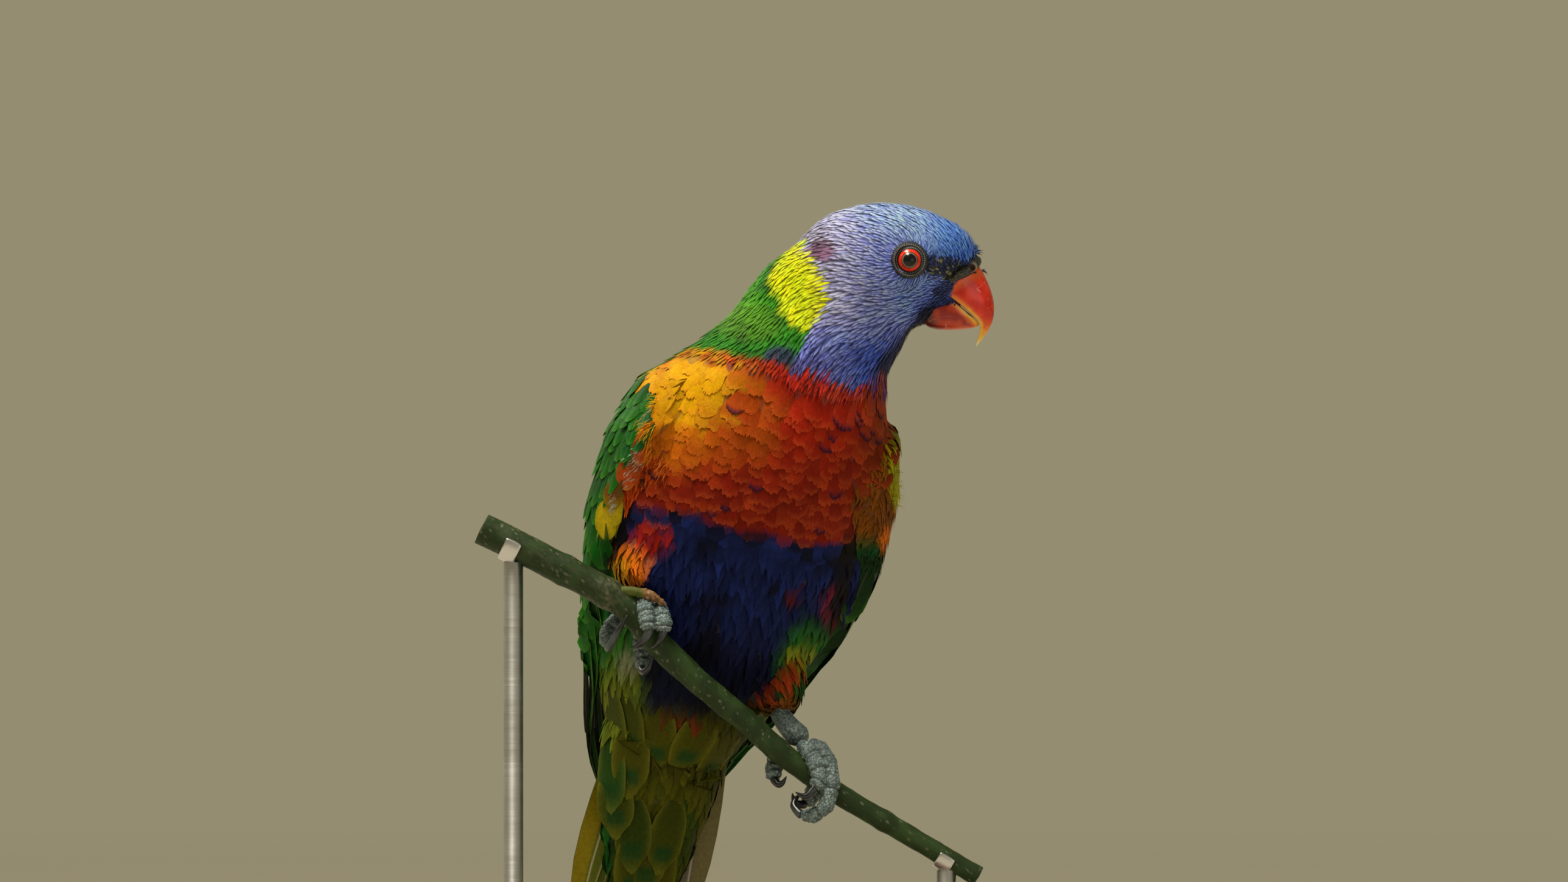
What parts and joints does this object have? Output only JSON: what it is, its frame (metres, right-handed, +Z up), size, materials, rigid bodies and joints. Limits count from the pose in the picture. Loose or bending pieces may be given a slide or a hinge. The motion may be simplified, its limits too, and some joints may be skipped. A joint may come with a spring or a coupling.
{
  "type": "rainbow lorikeet",
  "caption": "Life-size still rainbow lorikeet gripping a short cut branch, head turned in profile, on a plain stand with a flat base and rods.",
  "frame": {"origin": "middle of the display base's underside", "axes": "+Z up; the bird's belly faces -Y and its head is turned to its left, so that the bill points along +X"},
  "size_m": [0.172, 0.12, 0.288],
  "materials": {
    "plumage_head": "blue-violet feathers with pale shafts",
    "plumage_neck": "yellow-green collar and green nape feathers",
    "plumage_body": "scalloped red-orange breast and dark blue belly feathers",
    "plumage_wing": "emerald green coverts and dark flight feathers",
    "plumage_tail": "olive and yellow-green feathers with dark green spots",
    "bill": "satin keratin, red-orange, yellow at the tip",
    "cere": "bare dark skin",
    "eye": "glossy, red-orange iris and black pupil",
    "foot_skin": "blue-grey scaled skin",
    "claw": "glossy dark grey keratin",
    "bark": "smooth green young bark with grey marks",
    "stand_wood": "satin oiled walnut",
    "stand_steel": "brushed"
  },
  "bodies": {
    "root": {"head": "plumage_head", "neck": "plumage_neck", "trunk": "plumage_body", "thigh_right": "plumage_body", "thigh_left": "plumage_body", "wing_right": "plumage_wing", "wing_left": "plumage_wing", "flight_feathers_right": "plumage_wing", "flight_feathers_left": "plumage_wing", "tail": "plumage_tail", "undertail_coverts": "plumage_tail", "bill_upper": "bill", "bill_lower": "bill", "cere": "cere", "eye_right": "eye", "eye_left": "eye", "tarsus_right": "foot_skin", "tarsus_left": "foot_skin", "toe_right_1": "foot_skin", "toe_right_2": "foot_skin", "toe_right_3": "foot_skin", "toe_right_4": "foot_skin", "toe_left_1": "foot_skin", "toe_left_2": "foot_skin", "toe_left_3": "foot_skin", "toe_left_4": "foot_skin", "claw_right_1": "claw", "claw_right_2": "claw", "claw_right_3": "claw", "claw_right_4": "claw", "claw_left_1": "claw", "claw_left_2": "claw", "claw_left_3": "claw", "claw_left_4": "claw", "perch": "bark", "stand_base": "stand_wood", "stand_rod_left": "stand_steel", "stand_rod_right": "stand_steel"}
  },
  "joints": []
}
